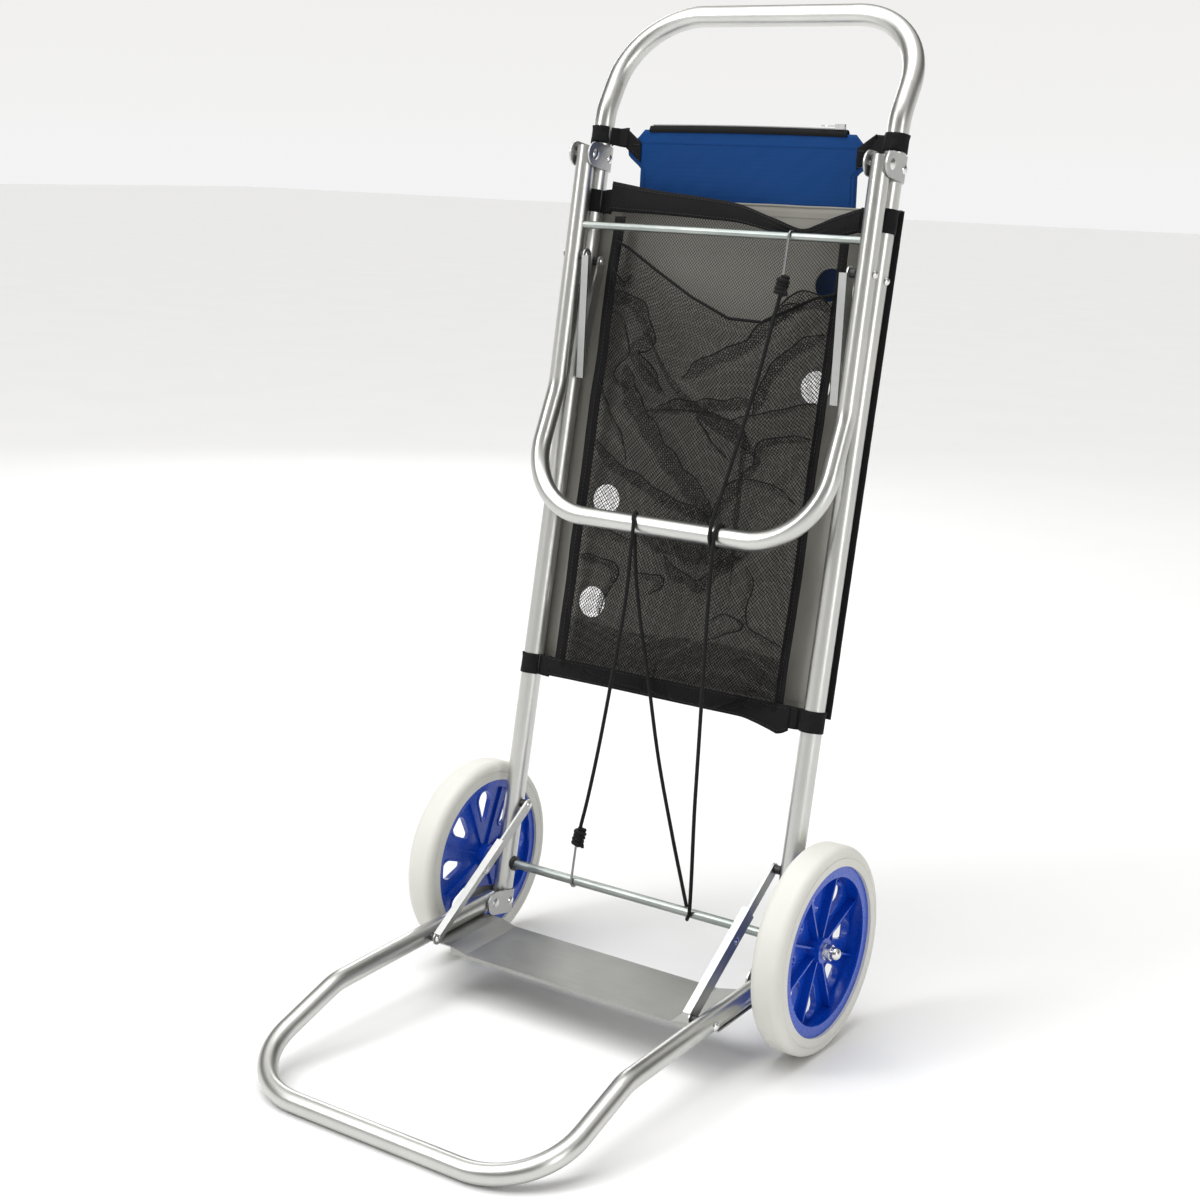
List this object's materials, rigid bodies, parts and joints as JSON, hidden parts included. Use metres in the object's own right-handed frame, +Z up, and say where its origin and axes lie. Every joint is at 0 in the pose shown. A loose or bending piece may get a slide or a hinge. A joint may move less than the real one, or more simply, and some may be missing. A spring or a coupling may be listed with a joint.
{
  "type": "beach cart",
  "caption": "Two-wheeled folding beach cart: bent tube frame and handle, fold-down base with shelf, folding front frame, net pocket, zip pouch and elastic cord.",
  "frame": {"origin": "on the ground, midway across the cart and midway between the front of the base and the back of the handle", "axes": "+Z up, +X to the cart's right wheel as seen from its open base, -Y from the legs out over the base, in the direction the base folds down"},
  "size_m": [0.4844, 0.6502, 1.0353],
  "materials": {
    "tube_aluminium": "satin",
    "base_steel": "satin",
    "zinc_steel": "satin",
    "bright_fixings": "polished",
    "axle_steel": "satin",
    "black_plastic": "matte",
    "wheel_plastic": "gloss",
    "bush_plastic": "matte",
    "tyre_rubber": "matte",
    "grey_fabric": "matte",
    "black_webbing": "matte",
    "black_mesh": "matte",
    "blue_fabric": "satin",
    "zip_tape": "matte",
    "zip_metal": "polished",
    "elastic_cord": "matte",
    "hook_steel": "satin"
  },
  "bodies": {
    "frame": {"main_tube": "tube_aluminium", "top_bracket_left": "zinc_steel", "top_bracket_right": "zinc_steel", "bottom_bracket_left": "zinc_steel", "bottom_bracket_right": "zinc_steel", "bracket_rivets": "bright_fixings", "hinge_pins_base": "bright_fixings", "hinge_pins_front": "bright_fixings", "leg_bolts": "bright_fixings", "leg_spacers": "black_plastic", "axle_rod": "axle_steel", "axle_grommets": "black_plastic", "wheel_spacers": "axle_steel", "wheel_washers": "bright_fixings", "cap_nuts": "bright_fixings", "back_panel": "grey_fabric", "panel_binding": "black_webbing", "pocket_mesh": "black_mesh", "pocket_top_hem": "black_webbing", "pocket_bottom_hem": "black_webbing", "pocket_side_tapes": "black_webbing", "pocket_straps": "black_webbing", "pouch": "blue_fabric", "pouch_zip": "zip_tape", "pouch_straps": "black_webbing", "bungee_cord": "elastic_cord", "bungee_knot_low": "elastic_cord", "bungee_hook_low": "hook_steel"},
    "base": {"base_tube": "base_steel", "shelf_tray": "base_steel", "shelf_rivets": "bright_fixings", "base_bolts": "bright_fixings", "base_spacers": "black_plastic"},
    "front_frame": {"front_tube": "tube_aluminium", "crossbar": "axle_steel", "front_bolts": "bright_fixings", "front_spacers": "black_plastic", "bungee_knot_top": "elastic_cord", "bungee_hook_top": "hook_steel"},
    "brace_link_left_body": {"brace_link_left": "zinc_steel"},
    "brace_angle_left_body": {"brace_angle_left": "zinc_steel", "brace_rivet_left": "bright_fixings"},
    "stay_link_left_body": {"stay_link_left": "zinc_steel"},
    "stay_angle_left_body": {"stay_angle_left": "zinc_steel", "stay_rivet_left": "bright_fixings"},
    "wheel_left": {"wheel_hub_left": "wheel_plastic", "tyre_left": "tyre_rubber", "hub_bush_left": "bush_plastic"},
    "brace_link_right_body": {"brace_link_right": "zinc_steel"},
    "brace_angle_right_body": {"brace_angle_right": "zinc_steel", "brace_rivet_right": "bright_fixings"},
    "stay_link_right_body": {"stay_link_right": "zinc_steel"},
    "stay_angle_right_body": {"stay_angle_right": "zinc_steel", "stay_rivet_right": "bright_fixings"},
    "wheel_right": {"wheel_hub_right": "wheel_plastic", "tyre_right": "tyre_rubber", "hub_bush_right": "bush_plastic"},
    "zip_slider_body": {"zip_slider": "zip_metal"},
    "zip_puller_body": {"zip_puller": "zip_metal"}
  },
  "joints": [
    {"name": "base_fold", "type": "hinge", "parent": "frame", "child": "base", "pos_m": [0, 0.07209, 0.071], "axis": [-1, 0, 0], "range_deg": [0, 103.88]},
    {"name": "front_fold", "type": "hinge", "parent": "frame", "child": "front_frame", "pos_m": [0, 0.21853, 0.87681], "axis": [-1, 0, 0], "range_deg": [0, 103.88], "deforming": ["bungee_cord"]},
    {"name": "brace_link_fold_left", "type": "hinge", "parent": "frame", "child": "brace_link_left_body", "pos_m": [0, 0.11833, 0.1744], "axis": [-1, 0, 0], "range_deg": [0, 128.9]},
    {"name": "brace_knee_fold_left", "type": "hinge", "parent": "brace_link_left_body", "child": "brace_angle_left_body", "pos_m": [0, 0.04319, 0.12131], "axis": [1, 0, 0], "range_deg": [0, 164.64]},
    {"name": "stay_link_fold_left", "type": "hinge", "parent": "frame", "child": "stay_link_left_body", "pos_m": [0, 0.22543, 0.76375], "axis": [-1, 0, 0], "range_deg": [0, 128.9]},
    {"name": "stay_knee_fold_left", "type": "hinge", "parent": "stay_link_left_body", "child": "stay_angle_left_body", "pos_m": [0, 0.1986, 0.67575], "axis": [1, 0, 0], "range_deg": [0, 164.64]},
    {"name": "brace_link_fold_right", "type": "hinge", "parent": "frame", "child": "brace_link_right_body", "pos_m": [0, 0.11833, 0.1744], "axis": [-1, 0, 0], "range_deg": [0, 128.9]},
    {"name": "brace_knee_fold_right", "type": "hinge", "parent": "brace_link_right_body", "child": "brace_angle_right_body", "pos_m": [0, 0.04319, 0.12131], "axis": [1, 0, 0], "range_deg": [0, 164.64]},
    {"name": "stay_link_fold_right", "type": "hinge", "parent": "frame", "child": "stay_link_right_body", "pos_m": [0, 0.22543, 0.76375], "axis": [-1, 0, 0], "range_deg": [0, 128.9]},
    {"name": "stay_knee_fold_right", "type": "hinge", "parent": "stay_link_right_body", "child": "stay_angle_right_body", "pos_m": [0, 0.1986, 0.67575], "axis": [1, 0, 0], "range_deg": [0, 164.64]},
    {"name": "wheel_spin_left", "type": "hinge", "parent": "frame", "child": "wheel_left", "pos_m": [0, 0.10617, 0.1075], "axis": [1, 0, 0], "continuous": true},
    {"name": "wheel_spin_right", "type": "hinge", "parent": "frame", "child": "wheel_right", "pos_m": [0, 0.10617, 0.1075], "axis": [1, 0, 0], "continuous": true},
    {"name": "zip_slide", "type": "slide", "parent": "frame", "child": "zip_slider_body", "axis": [-1, 0, 0], "range_m": [0, 0.2]},
    {"name": "zip_puller_flip", "type": "hinge", "parent": "zip_slider_body", "child": "zip_puller_body", "pos_m": [0.108, 0.25817, 0.9123], "axis": [0, 1, 0], "range_deg": [0, 100]}
  ],
  "couplings": [
    {"joint": "brace_link_fold_left", "follows": "base_fold", "ratio": 1.2409},
    {"joint": "brace_knee_fold_left", "follows": "base_fold", "ratio": 1.5849},
    {"joint": "stay_link_fold_left", "follows": "front_fold", "ratio": 1.2409},
    {"joint": "stay_knee_fold_left", "follows": "front_fold", "ratio": 1.5849},
    {"joint": "brace_link_fold_right", "follows": "base_fold", "ratio": 1.2409},
    {"joint": "brace_knee_fold_right", "follows": "base_fold", "ratio": 1.5849},
    {"joint": "stay_link_fold_right", "follows": "front_fold", "ratio": 1.2409},
    {"joint": "stay_knee_fold_right", "follows": "front_fold", "ratio": 1.5849}
  ]
}
